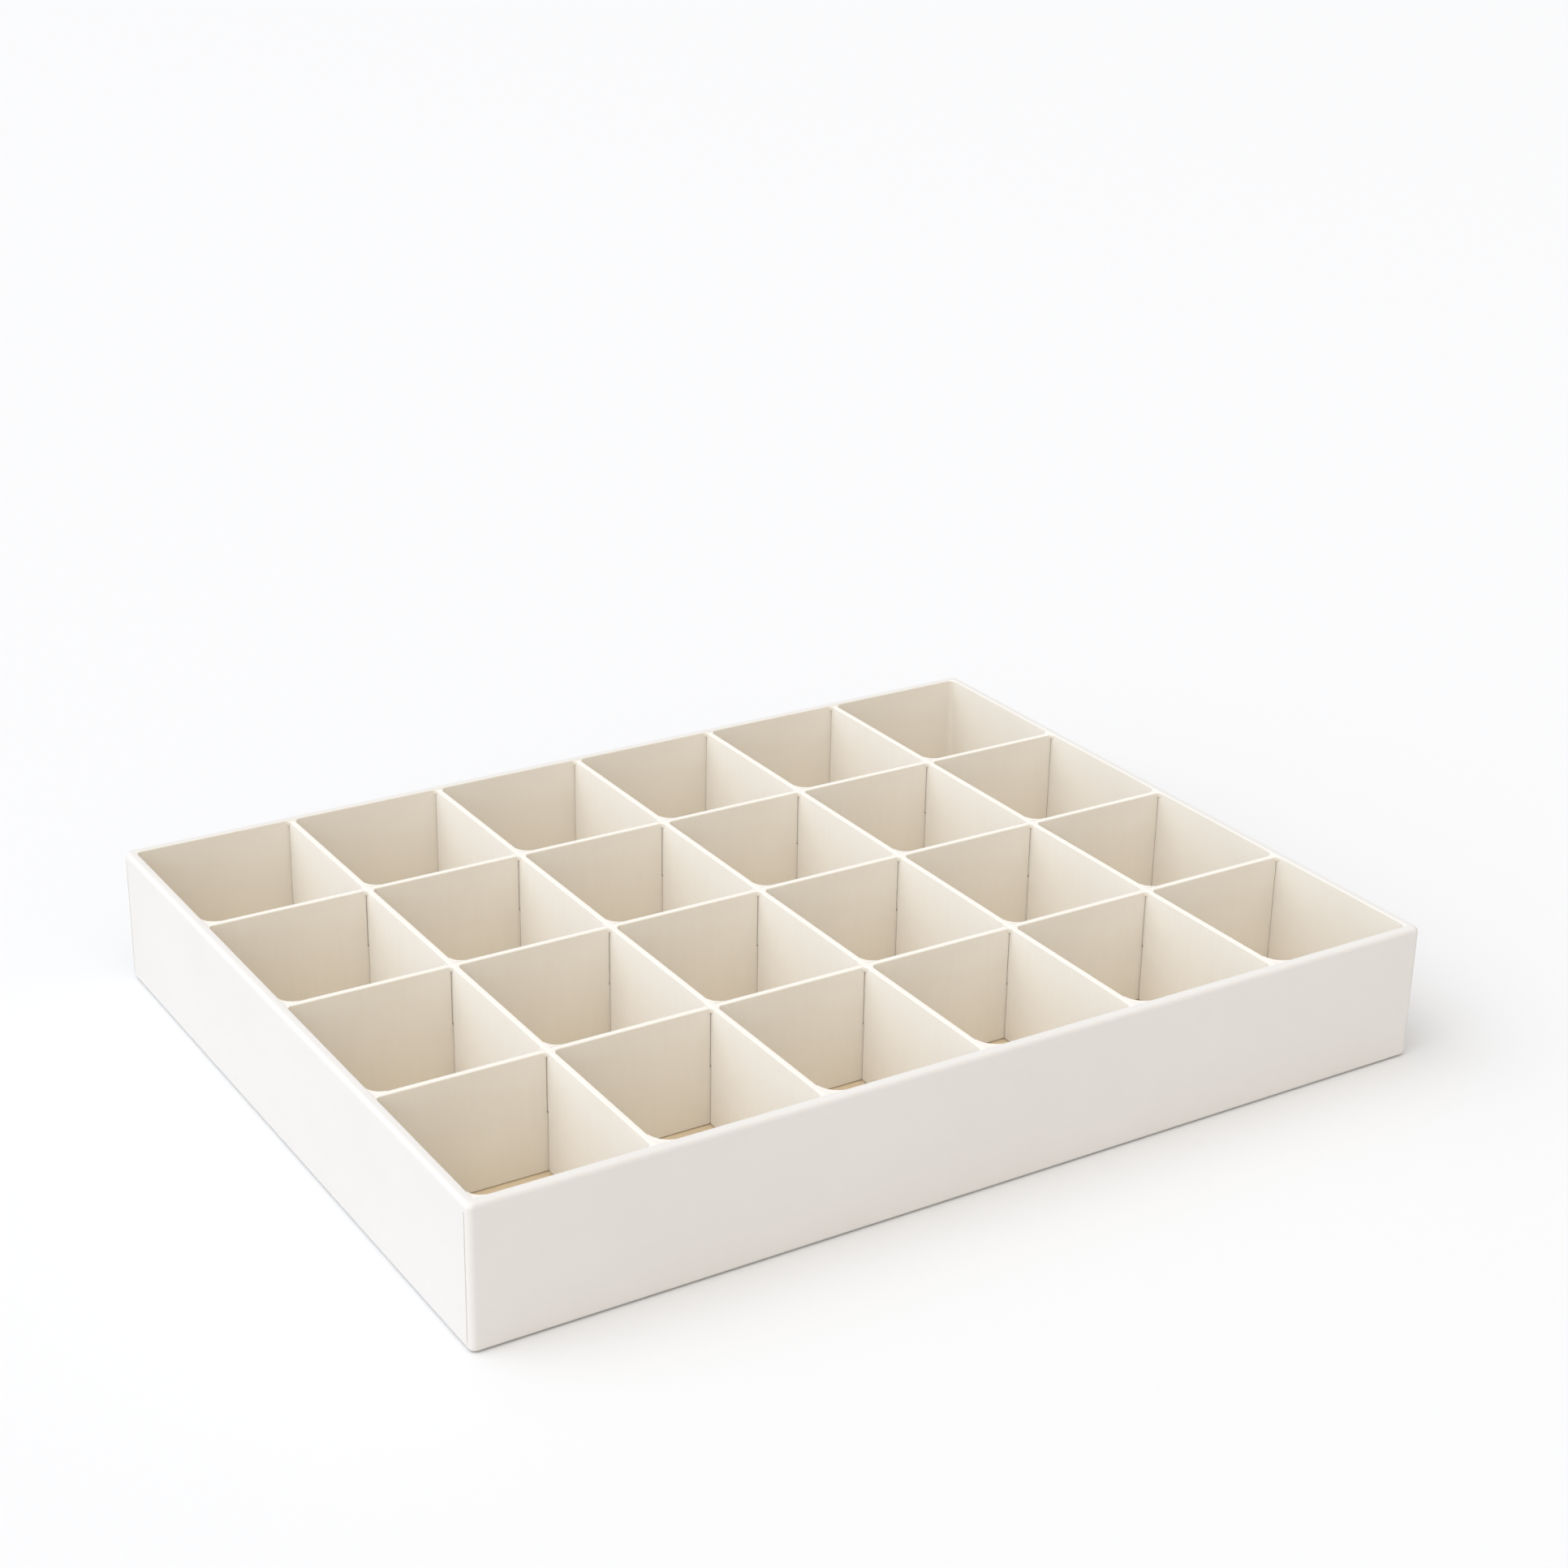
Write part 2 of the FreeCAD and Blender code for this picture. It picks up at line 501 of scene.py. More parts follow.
@dataclass(frozen=True)
class GreyboardFinish:
    """Recycled board: grey pulp with dark and light flecks."""

    name: str = "greyboard"
    colour: Colour = (0.30, 0.28, 0.25)
    dark_fleck: Colour = (0.14, 0.13, 0.12)
    light_fleck: Colour = (0.48, 0.45, 0.40)
    roughness: float = 0.9
    roughness_spread: float = 0.1
    pulp_size: float = 1.6 * MM
    pulp_detail: float = 5.0
    pulp_depth: float = 0.04 * MM
    fleck_detail: float = 2.0
    dark_size: float = 0.7 * MM
    dark_range: Range = (0.60, 0.68)
    dark_strength: float = 0.7
    light_size: float = 0.9 * MM
    light_range: Range = (0.62, 0.70)
    light_strength: float = 0.6
    light_stretch: Stretch = (1.0, 1.4, 1.0)

    def build(self) -> bpy.types.Material:
        """Make the material.

        Returns:
            The finished material.
        """
        shader = Shader.named(self.name)
        pulp = shader.noise(self.pulp_size, self.pulp_detail)
        dark = shader.remap(shader.noise(self.dark_size, self.fleck_detail), *self.dark_range)
        light = shader.noise(self.light_size, self.fleck_detail, self.light_stretch)
        light = shader.remap(light, *self.light_range)
        colour = shader.blend(dark * self.dark_strength, self.colour, self.dark_fleck)
        colour = shader.blend(light * self.light_strength, colour, self.light_fleck)
        roughness = self.roughness - self.roughness_spread * pulp
        return shader.finish(colour, roughness, pulp, self.pulp_depth)


@dataclass(frozen=True)
class TapeFinish:
    """Gummed kraft paper with lengthwise fibres."""

    name: str = "stay_tape"
    colour: Colour = (0.42, 0.29, 0.16)
    dark: Colour = (0.30, 0.20, 0.10)
    roughness: float = 0.6
    roughness_spread: float = 0.1
    fibre_size: float = 0.6 * MM
    fibre_detail: float = 3.0
    fibre_range: Range = (0.35, 0.65)
    fibre_stretch: Stretch = (1.0, 1.0, 0.15)
    fibre_depth: float = 0.02 * MM

    def build(self) -> bpy.types.Material:
        """Make the material.

        Returns:
            The finished material.
        """
        shader = Shader.named(self.name)
        fibre = shader.noise(self.fibre_size, self.fibre_detail, self.fibre_stretch)
        darkness = shader.remap(fibre, *self.fibre_range)
        colour = shader.blend(darkness, self.colour, self.dark)
        roughness = self.roughness + self.roughness_spread * fibre
        return shader.finish(colour, roughness, fibre, self.fibre_depth)


class Finish(Enum):
    """The finishes of the tray's pieces, by the record's slot names."""

    wrap_paper = WrapFinish("wrap_paper", (0.746, 0.724, 0.694), (0.729, 0.706, 0.674),
                            cloud_size=22.0 * MM, cloud_strength=0.6, grain_strength=0.15)
    divider_card = PaperFinish("divider_card", (0.83, 0.79, 0.715), (0.805, 0.758, 0.675),
                               grain_stretch=(1.0, 1.0, 0.12), grain_strength=0.45,
                               sheen=0.75)
    # Partly painted shade: the lining card's own tan, darkened further to stand in for the shade
    # at the bottom of the cells.
    lining_card = PaperFinish("lining_card", (0.75, 0.625, 0.445), (0.73, 0.60, 0.415),
                              grain_stretch=(0.2, 1.0, 1.0))
    bottom_paper = PaperFinish("bottom_paper", (0.76, 0.735, 0.70), (0.74, 0.715, 0.68),
                               cloud_size=30.0 * MM)
    greyboard = GreyboardFinish()
    stay_tape = TapeFinish()


class Wardrobe:
    """Makes each finish once and dresses pieces with it."""

    def __init__(self) -> None:
        """Build every finish."""
        self.materials = {finish.name: finish.value.build() for finish in Finish}

    def dress(self, piece: Piece, finish: Finish) -> None:
        """Give a new piece or a CAD node one finish all over.

        Args:
            piece: The object to dress.
            finish: The finish to use.
        """
        material = self.materials[finish.name]
        if piece.material_slots:
            for material_slot in piece.material_slots:
                material_slot.material = material
        else:
            piece.data.materials.append(material)

    def place(self, piece: Piece, node: str, body: str, finish: Finish) -> None:
        """Dress a new piece and put it in a CAD node's stead.

        Args:
            piece: The new piece.
            node: The CAD node that it replaces.
            body: The body that it rides on.
            finish: Its finish, named after the record's slot.
        """
        self.dress(piece, finish)
        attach(piece, body)
        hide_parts(node)
        LOG.info("%s: %d faces, on %s", piece.name, len(piece.data.polygons), body)


# ------------------------ corner webs
@dataclass(frozen=True)
class Web:
    """A soft web of card in the corner where two upright faces meet.

    x_side and y_side say which way the cell lies from the corner.
    """

    x_side: int
    y_side: int
    radius: float
    depth: float


@dataclass(frozen=True)
class WebSizes:
    """Radii of the webs, named by the corner of the cell, and the two depths that they have.

    front_wall and left_wall are for the cells against those walls, and tray_corner for the
    cell in the front left corner of the tray.
    """

    front_left: float = 2.6 * MM
    back_left: float = 1.0 * MM
    back_right: float = 1.0 * MM
    front_right: float = 1.3 * MM
    front_wall: float = 4.4 * MM
    left_wall: float = 3.2 * MM
    tray_corner: float = 2.6 * MM
    deep: float = 2.4 * MM
    shallow: float = 1.0 * MM


@dataclass(frozen=True)
class WebMaker:
    """Shapes webs: a block hollowed by a bell that stands upright and then flares out.

    tip is the thickness left at the web's ends. The block reaches run times the radius along
    each face, which keeps those ends blunt. rise and overrun carry the bell past the block.
    """

    top: float
    drop: float = 0.03 * MM
    rise: float = 1.0 * MM
    overrun: float = 0.1 * MM
    upright_share: float = 0.35
    flare: float = 0.5
    flare_steps: int = 6
    sides: int = 48
    tip: float = 0.04 * MM
    run: float = 0.88

    def _bell(self, centre: Vector, web: Web) -> Piece:
        """Model the cutter.

        Args:
            centre: Its middle, at the web's top.
            web: The web that it hollows.

        Returns:
            The cutter.
        """
        upright = self.upright_share * web.depth
        middle = centre + Vector((0.0, 0.0, 0.5 * (self.rise - upright)))
        Bench.clear_selection()
        bpy.ops.mesh.primitive_cylinder_add(vertices=self.sides,
                                            radius=web.radius - self.tip,
                                            depth=self.rise + upright, location=middle)
        cutter = Bench.name_new("bell")
        step_down = (web.depth - upright + self.overrun) / self.flare_steps
        with Bench.editing(cutter):
            Bench.pick(cutter, Kind.FACES, lambda face: face.normal.z < -FACING)
            previous = 1.0
            for step in range(1, self.flare_steps + 1):
                part = step / self.flare_steps
                width = 1.0 + self.flare * (1.0 - math.sqrt(1.0 - part * part))
                bpy.ops.mesh.extrude_region_move(
                    TRANSFORM_OT_translate={"value": (0.0, 0.0, -step_down)})
                factor = width / previous
                bpy.ops.transform.resize(value=(factor, factor, 1.0),
                                         center_override=(centre.x, centre.y, 0.0))
                previous = width
        return cutter

    def make(self, corner: tuple[float, float], web: Web, root: tuple[float, float]) -> Piece:
        """Model one web.

        Args:
            corner: Where the two faces that it joins would meet, in plan.
            web: Its side, radius and depth.
            root: How far it reaches back behind each face, along X and along Y.

        Returns:
            The web, with its hollow side facing the cell.
        """
        top = self.top - self.drop
        near = Vector((corner[0] - web.x_side * root[0], corner[1] - web.y_side * root[1], top))
        reach = Vector((web.x_side * web.radius, web.y_side * web.radius, 0.0))
        centre = Vector((*corner, top)) + reach
        far = Vector((*corner, top - web.depth)) + self.run * reach
        piece = Bench.block("web", map(min, near, far), map(max, near, far))
        Bench.combine(piece, self._bell(centre, web), Cut.REMOVE)
        return piece


# ------------------------ tray
@dataclass
class WrapSizes:
    """Sizes of the paper sheet that covers the tray. The first seven come from the frame."""

    length: float
    width: float
    top: float
    under: float
    wall: float
    paper: float
    turned_in_to: float
    turned_under_by: float = 15.0 * MM
    corner_radius: float = 1.2 * MM
    corner_steps: int = 8
    rim_outer_radius: float = 1.0 * MM
    rim_inner_radius: float = 0.28 * MM
    foot_radius: float = 0.8 * MM
    fold_steps: int = 5
    seam_from_corner: float = 1.42 * MM
    seam_below_rim: float = 1.7 * MM
    seam_width: float = 0.4 * MM
    seam_depth: float = 0.19 * MM
    seam_floor_share: float = 0.3
    seam_steps: int = 4
    seam_run_out: float = 0.4 * MM
    web_root: float = 0.2 * MM

    @property
    def seam_top(self) -> float:
        """Height at which the seams stop."""
        return self.top - self.seam_below_rim

    @property
    def seam_deep_span(self) -> Range:
        """Heights between which a seam has its full depth."""
        foot = self.under + self.foot_radius
        return foot + self.seam_run_out, self.seam_top - self.seam_run_out

    @classmethod
    def from_frame(cls) -> "WrapSizes":
        """Measure the CAD nodes that the sheet lies against.

        Returns:
            The sizes.
        """
        low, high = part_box("outer_wrap")
        card_low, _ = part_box("floor_card")
        _, base_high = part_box("base_board")
        _, board_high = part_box("front_wall_board")
        return cls(length=high.x - low.x, width=high.y - low.y, top=high.z, under=low.z,
                   wall=card_low.x - low.x, paper=high.z - board_high.z,
                   turned_in_to=base_high.z)


class PaperWrap:
    """One sheet: turned under the base, up the sides, over the rim and down the inside."""

    def __init__(self) -> None:
        """Read the sizes from the frame."""
        self.sizes = WrapSizes.from_frame()

    def _inset(self, point: Vector) -> float:
        """How far a point lies inside the tray's outline."""
        sizes = self.sizes
        return min(0.5 * sizes.length - abs(point.x), 0.5 * sizes.width - abs(point.y))

    def _on_loop(self, inset: float, height: float) -> Callable:
        """Test for elements on one of the sheet's fold lines, rounded corners included.

        Args:
            inset: How far the line lies inside the tray's outline.
            height: How high it lies.

        Returns:
            The test.
        """
        furthest = inset + 0.5 * self.sizes.corner_radius
        return ends_pass(lambda point: abs(point.z - height) < SLACK
                         and inset - SLACK <= self._inset(point) < furthest)

    def _draw_in(self, inset: float) -> None:
        """Pull in the selected loop, which lies on the outline.

        Args:
            inset: How far it moves.
        """
        sizes = self.sizes
        factors = (1.0 - 2.0 * inset / sizes.length, 1.0 - 2.0 * inset / sizes.width, 1.0)
        bpy.ops.transform.resize(value=factors, center_override=(0.0, 0.0, 0.0))

    @staticmethod
    def _extrude(rise: float = 0.0) -> None:
        """Extrude the selected loop straight up by rise."""
        bpy.ops.mesh.extrude_edges_move(TRANSFORM_OT_translate={"value": (0.0, 0.0, rise)})

    def _fold_sheet(self, piece: Piece) -> None:
        """Draw the outline and carry it round the wall as one folded sheet.

        Args:
            piece: A plane of the tray's length and width, in edit mode.
        """
        sizes = self.sizes
        bpy.ops.mesh.select_all(action="SELECT")
        bpy.ops.mesh.bevel(offset=sizes.corner_radius, segments=sizes.corner_steps,
                           affect="VERTICES")
        bpy.ops.mesh.delete(type="ONLY_FACE")
        bpy.ops.mesh.select_all(action="SELECT")
        self._extrude()
        self._draw_in(sizes.turned_under_by)
        Bench.pick(piece, Kind.EDGES, self._on_loop(0.0, sizes.under))
        self._extrude(sizes.top - sizes.under)
        self._extrude()
        self._draw_in(sizes.wall)
        self._extrude(sizes.turned_in_to - sizes.top)

    def _round_folds(self, piece: Piece) -> None:
        """Round the foot and both edges of the rim.

        Args:
            piece: The sheet, in edit mode.
        """
        sizes = self.sizes
        folds = ((0.0, sizes.under, sizes.foot_radius), (0.0, sizes.top, sizes.rim_outer_radius),
                 (sizes.wall, sizes.top, sizes.rim_inner_radius))
        for inset, height, radius in folds:
            Bench.pick(piece, Kind.EDGES, self._on_loop(inset, height))
            bpy.ops.mesh.bevel(offset=radius, segments=sizes.fold_steps, affect="EDGES")

    def _on_end(self, side: float, point: Vector) -> bool:
        """Whether a point lies on the flat face at one end, -1 for left or 1 for right."""
        return abs(point.x - side * 0.5 * self.sizes.length) < SLACK

    def _press_seams(self, piece: Piece) -> None:
        """Press the joint lines of the end flaps, close to each upright corner.

        Args:
            piece: The sheet, in edit mode.
        """
        sizes = self.sizes
        for side in (-1.0, 1.0):
            for height in (sizes.seam_top, *sizes.seam_deep_span):
                Bench.pick(piece, Kind.FACES, ends_pass(lambda point: self._on_end(side, point)))
                bpy.ops.mesh.bisect(plane_co=(0.0, 0.0, height), plane_no=(0.0, 0.0, 1.0))
            for end in (-1.0, 1.0):
                self._press_seam(piece, side, end)

    def _press_seam(self, piece: Piece, side: float, end: float) -> None:
        """Press one line as a groove that runs out at both ends, so the face beyond stays flat.

        Args:
            piece: The sheet, in edit mode.
            side: Which end face it is on: -1 for left and 1 for right.
            end: Which corner it is close to: -1 for front and 1 for back.
        """
        sizes = self.sizes
        seam_y = end * (0.5 * sizes.width - sizes.seam_from_corner)
        half_floor = sizes.seam_floor_share * sizes.seam_width
        lowest, highest = sizes.seam_deep_span

        def in_run(point: Vector) -> bool:
            """Whether a point lies on this end's face and no higher than the line."""
            return self._on_end(side, point) and point.z < sizes.seam_top + SLACK

        def is_pressed(vertex: bmesh.types.BMVert) -> bool:
            """Whether a vertex lies where the groove has its full depth."""
            point = vertex.co
            return (in_run(point) and abs(point.y - seam_y) < half_floor
                    and lowest - SLACK < point.z < highest + SLACK)

        Bench.pick(piece, Kind.FACES, ends_pass(in_run))
        bpy.ops.mesh.bisect(plane_co=(0.0, seam_y, 0.0), plane_no=(0.0, 1.0, 0.0))
        Bench.pick(piece, Kind.EDGES, ends_pass(
            lambda point: in_run(point) and abs(point.y - seam_y) < SLACK))
        bpy.ops.mesh.bevel(offset=0.5 * sizes.seam_width, segments=sizes.seam_steps,
                           affect="EDGES")
        Bench.pick(piece, Kind.VERTS, is_pressed)
        bpy.ops.transform.translate(value=(-side * sizes.seam_depth, 0.0, 0.0))

    def build(self, wardrobe: Wardrobe) -> None:
        """Model the sheet, give it its thickness and put it in place.

        Args:
            wardrobe: The finishes.
        """
        sizes = self.sizes
        Bench.clear_selection()
        bpy.ops.mesh.primitive_plane_add(size=1.0, location=(0.0, 0.0, sizes.under))
        piece = bpy.context.active_object
        piece.scale = (sizes.length, sizes.width, 1.0)
        piece = Bench.name_new("wrap_sheet")
        with Bench.editing(piece):
            self._fold_sheet(piece)
            self._round_folds(piece)
            self._press_seams(piece)
            bpy.ops.mesh.select_all(action="SELECT")
            bpy.ops.mesh.normals_make_consistent(inside=False)
        self._face_outwards(piece)
        Bench.apply(piece, "SOLIDIFY", thickness=sizes.paper, offset=-1.0, use_even_offset=True)
        Bench.combine(piece, self._corner_web(), Cut.JOIN)
        Bench.smooth(piece)
        wardrobe.place(piece, "outer_wrap", "tray", Finish.wrap_paper)

    def _corner_web(self) -> Piece:
        """The web across the front left inside corner, rooted in the turned-in paper.

        Returns:
            The web.
        """
        sizes = self.sizes
        webs = WebSizes()
        corner = (sizes.wall - 0.5 * sizes.length, sizes.wall - 0.5 * sizes.width)
        web = Web(1, 1, webs.tray_corner, webs.deep)
        return WebMaker(sizes.top).make(corner, web, (sizes.web_root, sizes.web_root))

    def _face_outwards(self, piece: Piece) -> None:
        """Turn the open sheet over if the rim's faces point down.

        Args:
            piece: The sheet, before it has its thickness.
        """
        top = self.sizes.top
        rim = [face for face in piece.data.polygons if abs(face.center.z - top) < SLACK]
        if rim[0].normal.z < 0.0:
            with Bench.editing(piece):
                bpy.ops.mesh.select_all(action="SELECT")
                bpy.ops.mesh.flip_normals()


@dataclass
class FlatSheets:
    """The two flat pieces: the lining card on the floor and the paper under the base.

    turned_under is how far the wrap's turned edges lie over the underside paper.
    """

    corner_radius: float = 1.2 * MM
    turned_under: float = 12.0 * MM
    card_edge: float = 0.2 * MM
    paper_corner: float = 2.0 * MM
    paper_edge: float = 0.08 * MM
    corner_steps: int = 5
    edge_steps: int = 2

    def _round_uprights(self, piece: Piece, radius: float) -> None:
        """Round the block's four upright edges."""
        Bench.pick(piece, Kind.EDGES,
                   lambda edge: abs(edge.verts[0].co.z - edge.verts[1].co.z) > SLACK)
        bpy.ops.mesh.bevel(offset=radius, segments=self.corner_steps, affect="EDGES")

    def _soften_face(self, piece: Piece, up: float, width: float) -> None:
        """Soften the edges all round one level face.

        Args:
            piece: The sheet, in edit mode.
            up: 1 for the face that points up and -1 for the one that points down.
            width: How far the softening reaches.
        """
        Bench.pick(piece, Kind.FACES, lambda face: face.normal.z * up > FACING)
        bpy.ops.mesh.region_to_loop()
        bpy.ops.mesh.bevel(offset=width, segments=self.edge_steps, affect="EDGES")

    def build_lining(self, wardrobe: Wardrobe) -> None:
        """Model the lining card that covers the base inside the walls.

        Args:
            wardrobe: The finishes.
        """
        low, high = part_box("floor_card")
        piece = Bench.block("floor_lining", low, high)
        with Bench.editing(piece):
            self._round_uprights(piece, self.corner_radius)
            self._soften_face(piece, 1.0, self.card_edge)
        Bench.smooth(piece)
        wardrobe.place(piece, "floor_card", "tray", Finish.lining_card)

    def build_underside(self, wardrobe: Wardrobe) -> None:
        """Model the paper under the base, raised where it meets the base board.

        Args:
            wardrobe: The finishes.
        """
        low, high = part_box("bottom_paper")
        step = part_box("outer_wrap")[0].z
        piece = Bench.block("underside_paper", low, (high.x, high.y, step))
        with Bench.editing(piece):
            self._round_uprights(piece, self.paper_corner)
            self._soften_face(piece, -1.0, self.paper_edge)
            Bench.pick(piece, Kind.FACES, lambda face: face.normal.z > FACING)
            bpy.ops.mesh.inset(thickness=self.turned_under)
            bpy.ops.mesh.extrude_region_move(
                TRANSFORM_OT_translate={"value": (0.0, 0.0, high.z - step)})
        Bench.smooth(piece)
        wardrobe.place(piece, "bottom_paper", "tray", Finish.bottom_paper)


@dataclass(frozen=True)
class HiddenBoards:
    """The greyboard panels and corner stays under the paper, kept as the CAD has them."""

    STAYS = tuple(f"corner_stay_{row}_{side}" for row in ("front", "back")
                  for side in ("left", "right"))
    BOARDS = ("base_board", "front_wall_board", "back_wall_board", "left_wall_board",
              "right_wall_board")

    def build(self, wardrobe: Wardrobe) -> None:
        """Dress the CAD nodes.

        Args:
            wardrobe: The finishes.
        """
        for finish, nodes in ((Finish.greyboard, self.BOARDS), (Finish.stay_tape, self.STAYS)):
            for node in nodes:
                wardrobe.dress(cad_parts[node], finish)


# ------------------------ divider grid
class Along(Enum):
    """The axis that a divider runs along."""

    X = 0
    Y = 1

    def plan(self, lengthwise: object, crosswise: object) -> tuple:
        """Put what is along and across the divider in the order X, Y, or the other way round."""
        return (lengthwise, crosswise) if self is Along.X else (crosswise, lengthwise)


@dataclass
class DividerGrid:
    """Long dividers slotted from above and cross dividers slotted from below.

    touch_gap keeps the webs and fills off the pieces that they seem to touch. Each fill closes
    a clearance from fill_gap off a wall to fill_reach, or the width of a slot.
    """

    webs: WebSizes = WebSizes()
    edge_radius: float = 0.26 * MM
    edge_steps: int = 3
    slot_clearance: float = 0.2 * MM
    slot_meeting_gap: float = 0.15 * MM
    end_gap: float = 0.14 * MM
    touch_gap: float = 0.02 * MM
    fill_gap: float = 0.05 * MM
    fill_reach: float = 1.0 * MM
    fill_drop: float = 0.06 * MM
    web_root: float = 0.3 * MM
    overcut: float = 1.0 * MM

    LONG = ("long_divider_1", "long_divider_2", "long_divider_3")
    CROSS = tuple(f"cross_divider_{number}" for number in range(1, 6))

    def __post_init__(self) -> None:
        """Read where the dividers lie from the frame."""
        self.rows = [self._middle(node).y for node in self.LONG]
        self.columns = [self._middle(node).x for node in self.CROSS]
        low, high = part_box(self.CROSS[0])
        self.half_card = 0.5 * (high.x - low.x)
        self.top = high.z
        self.bottom = low.z
        self.meeting = 0.5 * (low.z + high.z)
        low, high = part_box("floor_card")
        self.walls = {Along.X: (low.x, high.x), Along.Y: (low.y, high.y)}
        self.web_maker = WebMaker(self.top)

    @staticmethod
    def _middle(node: str) -> Vector:
        """Middle of a node's box."""
        low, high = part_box(node)
        return (low + high) / 2.0

    def _plank(self, name: str, along: Along, middle: float) -> Piece:
        """Model a full divider card with rounded long edges, before its slots are cut.

        Args:
            name: The piece's name.
            along: The axis that it runs along.
            middle: Where it lies on the other axis.

        Returns:
            The plank.
        """
        walls = self.walls[along]
        low = along.plan(walls[0] + self.end_gap, middle - self.half_card)
        high = along.plan(walls[1] - self.end_gap, middle + self.half_card)
        piece = Bench.block(name, (*low, self.bottom), (*high, self.top))
        with Bench.editing(piece):
            Bench.pick(piece, Kind.EDGES, lambda edge: abs(
                edge.verts[0].co[along.value] - edge.verts[1].co[along.value]) > SLACK)
            bpy.ops.mesh.bevel(offset=self.edge_radius, segments=self.edge_steps, affect="EDGES")
        return piece

    def _fill(self, low: Sequence[float], high: Sequence[float]) -> Piece:
        """A block that closes a clearance gap just under the top edge, between plan corners."""
        top = self.top - self.fill_drop
        return Bench.block("fill", (*low, top - self.webs.shallow), (*high, top))

    def _four_webs(self, front_left: float, front_right_depth: float) -> tuple[Web, ...]:
        """The webs round one joint, of which only two sizes differ from joint to joint."""
        sizes = self.webs
        return (Web(1, 1, front_left, sizes.deep),
                Web(-1, 1, sizes.front_right, front_right_depth),
                Web(1, -1, sizes.back_left, sizes.shallow),
                Web(-1, -1, sizes.back_right, sizes.shallow))

    def _crossing(self, x: float, y: float) -> list[Piece]:
        """Webs of a cross divider round one long divider, and the fill over its slot.

        Args:
            x: The cross divider's middle.
            y: The long divider's middle.

        Returns:
            The webs and the fill.
        """
        made = []
        for web in self._four_webs(self.webs.front_left, self.webs.shallow):
            corner = (x + web.x_side * self.half_card,
                      y + web.y_side * (self.half_card + self.touch_gap))
            made.append(self.web_maker.make(corner, web, (self.web_root, 0.0)))
        reach_x = self.half_card + self.slot_clearance - self.touch_gap
        reach_y = self.half_card + 2.0 * self.touch_gap
        made.append(self._fill((x - reach_x, y - reach_y), (x + reach_x, y + reach_y)))
        return made

    def _ends(self, along: Along, middle: float, webs: Sequence[Web]) -> list[Piece]:
        """Webs and fills where a divider meets the walls at its two ends.

        Args:
            along: The axis that the divider runs along.
            middle: Where it lies on the other axis.
            webs: Its webs. The side of a web says which wall it is at.

        Returns:
            The webs and fills.
        """
        walls = self.walls[along]
        made = []
        for web in webs:
            inward, sideways = along.plan(web.x_side, web.y_side)
            wall = walls[0] if inward > 0 else walls[1]
            corner = along.plan(wall + inward * self.touch_gap, middle + sideways * self.half_card)
            made.append(self.web_maker.make(corner, web, along.plan(0.0, self.web_root)))
        reach = self.half_card - 0.5 * self.edge_radius
        for wall, inward in zip(walls, (1.0, -1.0)):
            near, far = sorted((wall + inward * self.fill_gap, wall + inward * self.fill_reach))
            made.append(self._fill(along.plan(near, middle - reach),
                                   along.plan(far, middle + reach)))
        return made

    def _family(self, stem: str, along: Along, slot_span: Range, extras: Sequence[Piece]
                ) -> list[Piece]:
        """Model the first divider of a kind and copy it to the places of the others.

        Args:
            stem: What the pieces' names start with. A number follows, from 1.
            along: The axis that they run along.
            slot_span: Heights between which their slots are cut.
            extras: The first one's webs and fills.

        Returns:
            The dividers.
        """
        crossings, middles = along.plan(self.columns, self.rows)
        first = self._plank(f"{stem}_1", along, middles[0])
        half_slot = self.half_card + self.slot_clearance
        for place in crossings:
            low = along.plan(place - half_slot, middles[0] - self.overcut)
            high = along.plan(place + half_slot, middles[0] + self.overcut)
            slot = Bench.block("slot", (*low, slot_span[0]), (*high, slot_span[1]))
            Bench.combine(first, slot, Cut.REMOVE)
        for extra in extras:
            Bench.combine(first, extra, Cut.JOIN)
        shifts = [along.plan(0.0, middle - middles[0]) for middle in middles[1:]]
        return [first] + [Bench.copy(first, f"{stem}_{number}", Vector((*shift, 0.0)))
                          for number, shift in enumerate(shifts, start=2)]

    def _cross_cards(self) -> list[Piece]:
        """Model the cross dividers, slotted from below.

        Returns:
            The dividers.
        """
        x = self.columns[0]
        extras = [made for y in self.rows for made in self._crossing(x, y)]
        extras += self._ends(Along.Y, x, self._four_webs(self.webs.front_wall, self.webs.deep))
        slot_span = (self.bottom - self.overcut, self.meeting + self.slot_meeting_gap)
        return self._family("cross_card", Along.Y, slot_span, extras)

    def _long_cards(self) -> list[Piece]:
        """Model the long dividers, slotted from above.

        Returns:
            The dividers.
        """
        webs = self._four_webs(self.webs.left_wall, self.webs.shallow)
        slot_span = (self.meeting - self.slot_meeting_gap, self.top + self.overcut)
        return self._family("long_card", Along.X, slot_span,
                            self._ends(Along.X, self.rows[0], webs))

    def build(self, wardrobe: Wardrobe) -> None:
        """Model both kinds of divider and put them in place.

        Args:
            wardrobe: The finishes.
        """
        for number, (piece, node) in enumerate(zip(self._cross_cards(), self.CROSS), start=1):
            Bench.smooth(piece)
            wardrobe.place(piece, node, f"cross_divider_body_{number}", Finish.divider_card)
        for piece, node in zip(self._long_cards(), self.LONG):
            Bench.smooth(piece)
            wardrobe.place(piece, node, "divider_grid", Finish.divider_card)


